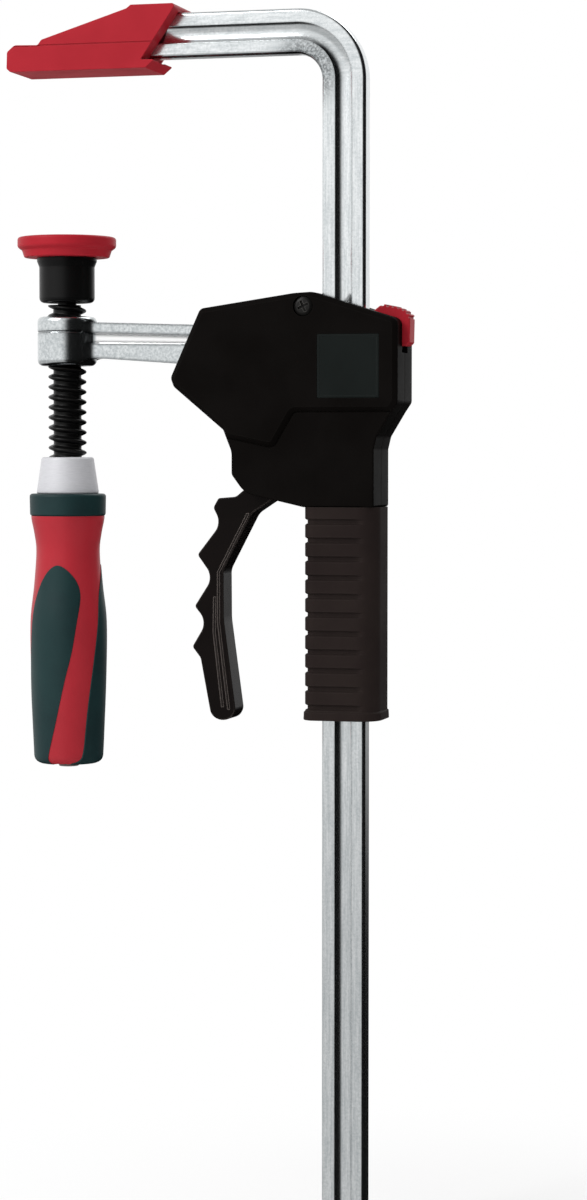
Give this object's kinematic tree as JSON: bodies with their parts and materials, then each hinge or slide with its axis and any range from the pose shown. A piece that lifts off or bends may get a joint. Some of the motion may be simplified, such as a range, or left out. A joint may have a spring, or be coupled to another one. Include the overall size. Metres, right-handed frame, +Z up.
{
  "type": "one-handed clamp",
  "caption": "Lever-operated bar clamp: bent grooved rail with padded fixed jaw, sliding pistol-grip head with trigger, release button, screw spindle and swivelling pressure cap.",
  "frame": {"origin": "middle of the fixed jaw's clamping face, on the spindle's axis", "axes": "+Z up along the rail, away from the sliding head; +X from the spindle to the rail; +Y through the rail's thickness, away from the badge side"},
  "size_m": [0.1806, 0.0438, 0.5488],
  "materials": {
    "rail_steel": "bright rolled steel, slightly mottled",
    "forged_steel": "forged and bright plated",
    "dark_steel": "hardened steel",
    "spring_steel": "bright spring steel",
    "black_steel": "black oxide, slightly oiled",
    "silver_ferrule": "satin silver",
    "red_plastic": "moulded, fine grain",
    "red_handle": "moulded, satin gloss",
    "black_plastic": "moulded, fine spark grain",
    "trigger_plastic": "moulded, fine spark grain",
    "badge_plastic": "moulded, smooth",
    "black_rubber": "soft ribbed",
    "green_rubber": "soft matt",
    "guide_plastic": "low-friction plastic",
    "grey_plastic": "moulded",
    "black_screw": "black zinc"
  },
  "bodies": {
    "bar": {"rail": "rail_steel", "rail_stop_pin": "dark_steel", "fixed_jaw_pad": "red_plastic"},
    "head": {"slide_arm": "forged_steel", "housing_front": "black_plastic", "housing_back": "black_plastic", "housing_screws": "black_screw", "badge_plate": "badge_plastic", "upper_guide": "guide_plastic", "lower_guide": "guide_plastic", "grip_sleeve": "black_rubber", "trigger_pin": "dark_steel", "brake_spring": "spring_steel", "drive_spring": "spring_steel"},
    "trigger": {"trigger": "trigger_plastic", "trigger_roller": "dark_steel"},
    "drive": {"drive_plates": "dark_steel"},
    "button": {"release_button": "red_plastic"},
    "brake": {"brake_plate": "dark_steel"},
    "feed": {"thrust_ball": "spring_steel"},
    "screw": {"spindle": "black_steel", "ferrule": "silver_ferrule", "handle_ring": "green_rubber", "handle_core": "red_handle", "handle_inserts": "green_rubber", "handle_end_plug": "grey_plastic", "handle_cross_pin": "dark_steel"},
    "foot": {"pressure_plate": "black_steel", "retaining_ring": "spring_steel", "pressure_cap": "red_plastic"}
  },
  "joints": [
    {"name": "head_slide", "type": "slide", "parent": "bar", "child": "head", "axis": [0, 0, 1], "range_m": [-0.226, 0.032]},
    {"name": "trigger_squeeze", "type": "hinge", "parent": "head", "child": "trigger", "pos_m": [0.104, 0, -0.176], "axis": [0, -1, 0], "range_deg": [0, 12.5], "stiffness_Nm_per_rad": 1.2, "springref_deg": -11.46},
    {"name": "drive_step", "type": "slide", "parent": "head", "child": "drive", "axis": [0, 0, -1], "range_m": [0, 0.00372], "deforming": ["drive_spring"]},
    {"name": "button_press", "type": "slide", "parent": "head", "child": "button", "axis": [0, 0, -1], "range_m": [0, 0.0026], "stiffness_N_per_m": 900, "springref_m": -0.003, "deforming": ["brake_spring"]},
    {"name": "brake_tilt", "type": "hinge", "parent": "head", "child": "brake", "pos_m": [0.114, 0, -0.131], "axis": [0, 1, 0], "range_deg": [0, 4.6]},
    {"name": "spindle_feed", "type": "slide", "parent": "head", "child": "feed", "axis": [0, 0, 1], "range_m": [-0.0042, 0.038]},
    {"name": "spindle_turn", "type": "hinge", "parent": "feed", "child": "screw", "pos_m": [0, 0, -0.088], "axis": [0, 0, 1], "range_deg": [-337, 3041]},
    {"name": "foot_tilt", "type": "hinge", "parent": "feed", "child": "foot", "pos_m": [0, 0, -0.088], "axis": [0, 1, 0], "range_deg": [-4, 4]}
  ],
  "couplings": [
    {"joint": "drive_step", "follows": "trigger_squeeze", "m_per_rad": 0.016117},
    {"joint": "brake_tilt", "follows": "button_press", "rad_per_m": 30.208},
    {"joint": "spindle_turn", "follows": "spindle_feed", "rad_per_m": 1396.3}
  ]
}
